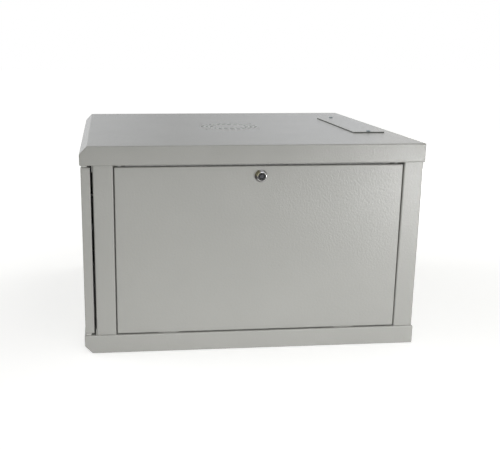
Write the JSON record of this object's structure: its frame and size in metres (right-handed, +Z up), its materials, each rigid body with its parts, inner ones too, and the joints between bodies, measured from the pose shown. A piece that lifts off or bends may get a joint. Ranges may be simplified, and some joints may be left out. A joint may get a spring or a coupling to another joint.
{
  "type": "wall mount network cabinet",
  "caption": "Wall mount 19-inch network cabinet of light grey steel sheet with a hinged glass door, tilting lockable side panels, rack rails, a vent ring and cable entries.",
  "frame": {"origin": "middle of the cabinet's underside", "axes": "+X to the hinge side, seen from the front; -Y is the glass door and +Y the wall; +Z up"},
  "size_m": [0.609, 0.6068, 0.3722],
  "materials": {
    "powder_coat": "light grey textured powder coat on steel sheet",
    "zinc_plate": "bright zinc plated steel",
    "dark_screws": "dark steel screws",
    "lock_chrome": "polished chrome",
    "lock_black": "black lock face",
    "lock_steel": "grey steel spindle",
    "nylon": "natural nylon",
    "foam": "black foam rubber",
    "smoked_glass": "toughened glass, lightly smoked"
  },
  "bodies": {
    "cabinet": {"top_cover": "powder_coat", "bottom_cover": "powder_coat", "front_post_right": "powder_coat", "front_post_left": "powder_coat", "rear_post_right": "powder_coat", "rear_post_left": "powder_coat", "rear_panel": "powder_coat", "cable_plate_top": "powder_coat", "cable_plate_bottom": "powder_coat", "side_rail_top_right": "zinc_plate", "side_rail_top_left": "zinc_plate", "side_rail_bottom_right": "zinc_plate", "side_rail_bottom_left": "zinc_plate", "rack_rail_front_right": "zinc_plate", "rack_rail_front_left": "zinc_plate", "rack_rail_rear_right": "zinc_plate", "rack_rail_rear_left": "zinc_plate", "frame_bolts_top": "zinc_plate", "frame_bolts_bottom": "zinc_plate", "rack_bolts_top": "zinc_plate", "rack_bolts_bottom": "zinc_plate", "side_rail_rivets": "zinc_plate", "rear_panel_screws": "zinc_plate", "earth_stud": "zinc_plate", "cable_plate_screws_top": "dark_screws", "cable_plate_screws_bottom": "dark_screws", "door_hinge_bush_top": "nylon", "door_hinge_bush_bottom": "nylon", "cable_gasket_top": "foam", "cable_gasket_bottom": "foam"},
    "door": {"door_frame": "powder_coat", "door_glass": "smoked_glass", "door_glass_seal": "foam", "glass_clips": "zinc_plate", "glass_clip_nuts": "zinc_plate", "door_hinge_pin_top": "zinc_plate", "door_hinge_pin_bottom": "zinc_plate", "door_lock_body": "lock_chrome", "door_lock_nut": "zinc_plate"},
    "door_lock_core": {"door_lock_plug": "lock_black", "door_lock_spindle": "lock_steel", "door_lock_cam": "zinc_plate", "door_lock_cam_screw": "zinc_plate"},
    "panel_right": {"side_panel_right": "powder_coat", "side_lock_body_right": "lock_chrome", "side_lock_nut_right": "zinc_plate"},
    "lock_core_right": {"side_lock_plug_right": "lock_black", "side_lock_spindle_right": "lock_steel", "side_lock_cam_right": "zinc_plate", "side_lock_cam_screw_right": "zinc_plate"},
    "panel_left": {"side_panel_left": "powder_coat", "side_lock_body_left": "lock_chrome", "side_lock_nut_left": "zinc_plate"},
    "lock_core_left": {"side_lock_plug_left": "lock_black", "side_lock_spindle_left": "lock_steel", "side_lock_cam_left": "zinc_plate", "side_lock_cam_screw_left": "zinc_plate"}
  },
  "joints": [
    {"name": "door_hinge", "type": "hinge", "parent": "cabinet", "child": "door", "pos_m": [0.29, -0.292, 0.184], "axis": [0, 0, 1], "range_deg": [0, 180]},
    {"name": "door_lock_turn", "type": "hinge", "parent": "door", "child": "door_lock_core", "pos_m": [-0.254, -0.2983, 0.184], "axis": [0, 1, 0], "range_deg": [0, 90]},
    {"name": "right_panel_tilt", "type": "hinge", "parent": "cabinet", "child": "panel_right", "pos_m": [0.2938, 0.01015, 0.0342], "axis": [0, 1, 0], "range_deg": [0, 30]},
    {"name": "right_lock_turn", "type": "hinge", "parent": "panel_right", "child": "lock_core_right", "pos_m": [0.296, 0.01015, 0.314], "axis": [-1, 0, 0], "range_deg": [0, 90]},
    {"name": "left_panel_tilt", "type": "hinge", "parent": "cabinet", "child": "panel_left", "pos_m": [-0.2938, 0.01015, 0.0342], "axis": [0, -1, 0], "range_deg": [0, 30]},
    {"name": "left_lock_turn", "type": "hinge", "parent": "panel_left", "child": "lock_core_left", "pos_m": [-0.296, 0.01015, 0.314], "axis": [-1, 0, 0], "range_deg": [0, 90]}
  ]
}
